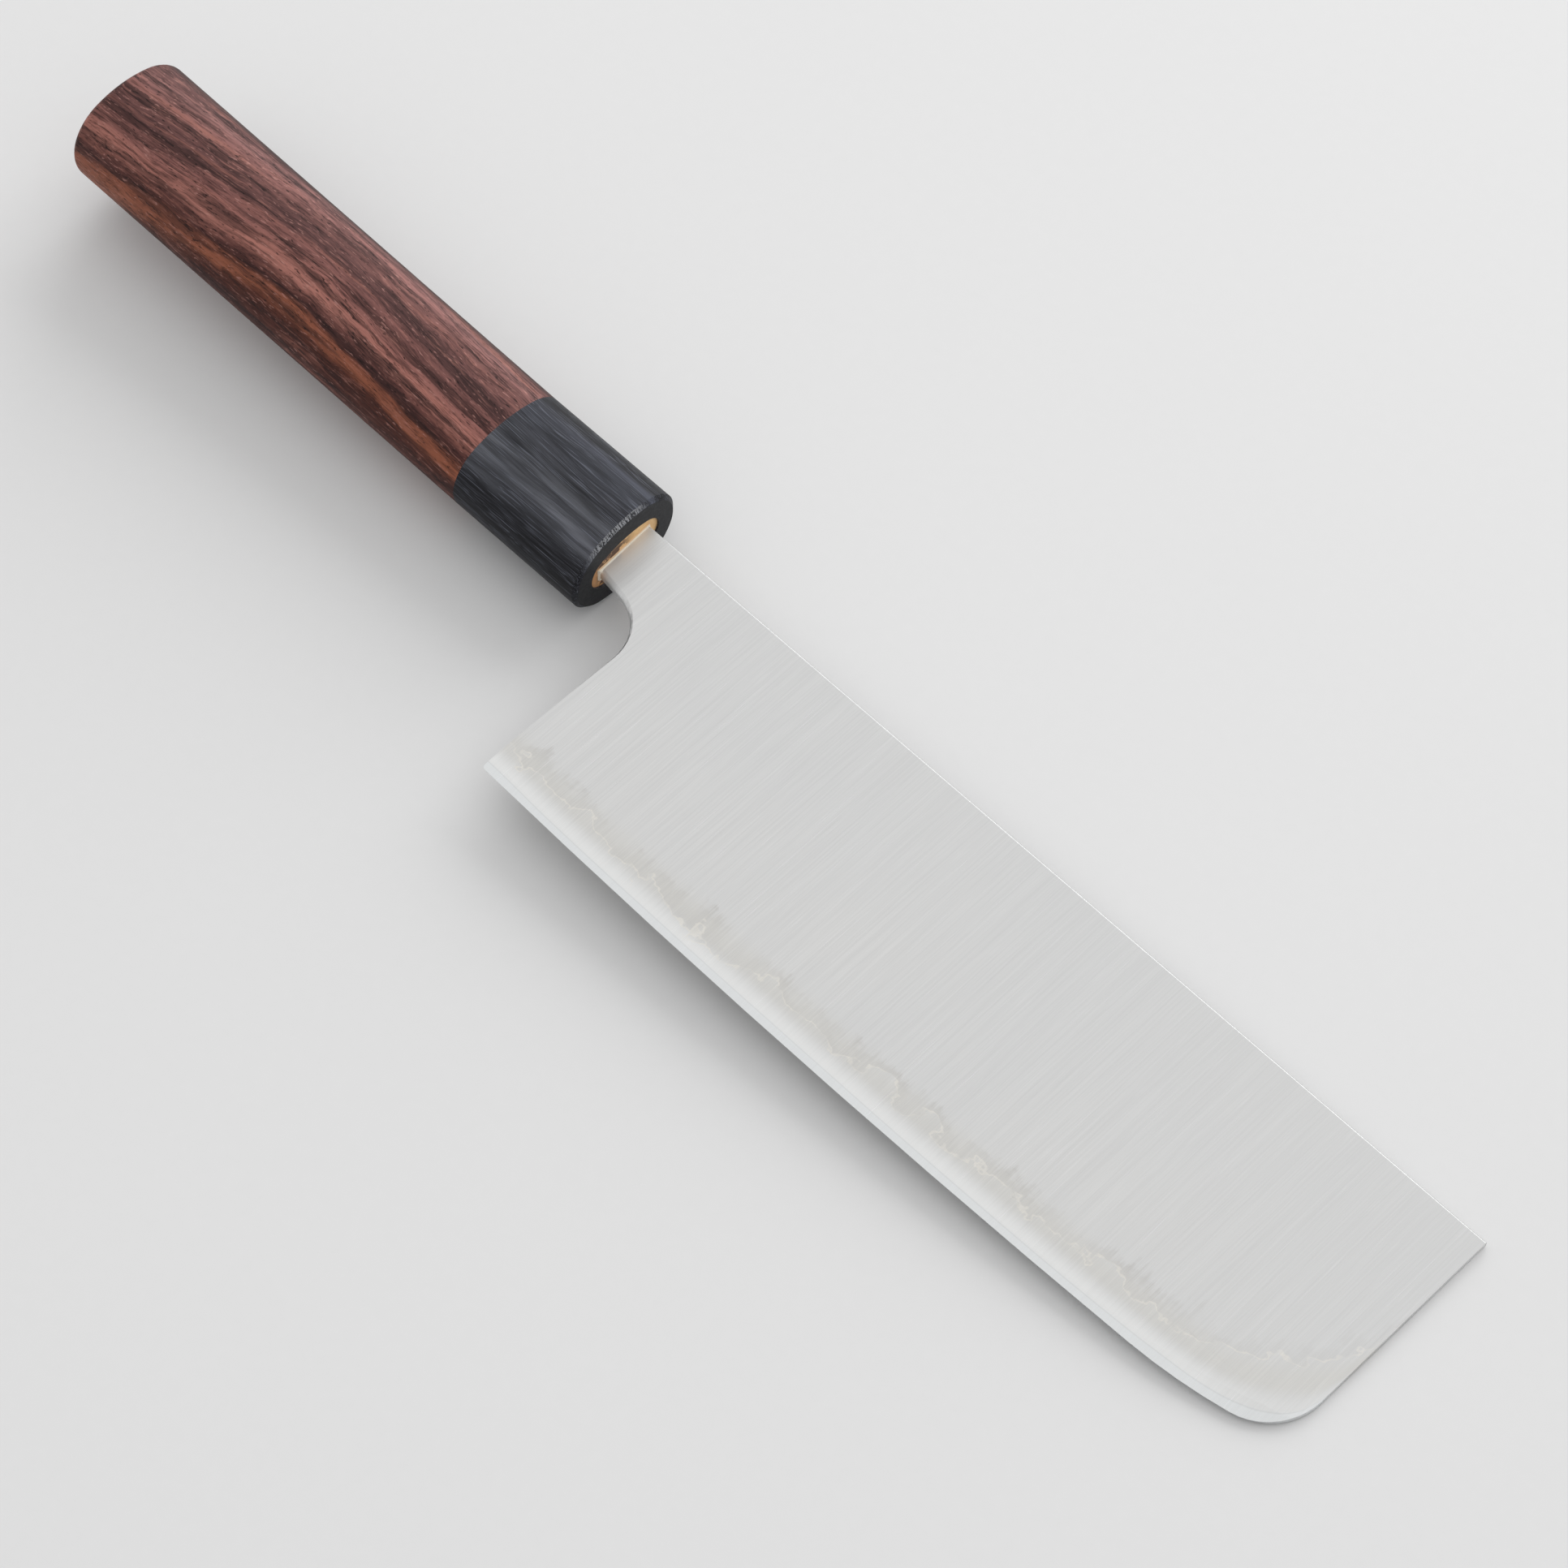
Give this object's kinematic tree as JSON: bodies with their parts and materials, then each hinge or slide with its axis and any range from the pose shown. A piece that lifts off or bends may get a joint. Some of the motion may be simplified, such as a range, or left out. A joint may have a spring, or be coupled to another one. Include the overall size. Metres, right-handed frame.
{
  "type": "nakiri knife",
  "caption": "Nakiri vegetable knife: tall square-ended three-layer steel blade, hidden tang, oval rosewood handle with a black ferrule.",
  "frame": {"origin": "middle of the knife's length and height, in the blade's middle plane, which is also the handle's", "axes": "+X from the butt to the blade's front, +Y from the cutting edge to the spine, +Z out of the blade's right face"},
  "size_m": [0.3012, 0.0586, 0.0198],
  "materials": {
    "hard_steel": "fine crosswise satin, brighter along the edge",
    "clad_steel": "fine crosswise satin",
    "sealant": "matte cream adhesive",
    "pale_wood": "bare end grain with scorch marks",
    "black_wood": "satin resin-filled laminate",
    "rosewood": "satin, oiled, with dark streaks"
  },
  "bodies": {
    "root": {"blade_core": "hard_steel", "right_cladding": "clad_steel", "left_cladding": "clad_steel", "tang_sealant": "sealant", "core_dowel": "pale_wood", "ferrule": "black_wood", "handle_barrel": "rosewood"}
  },
  "joints": []
}
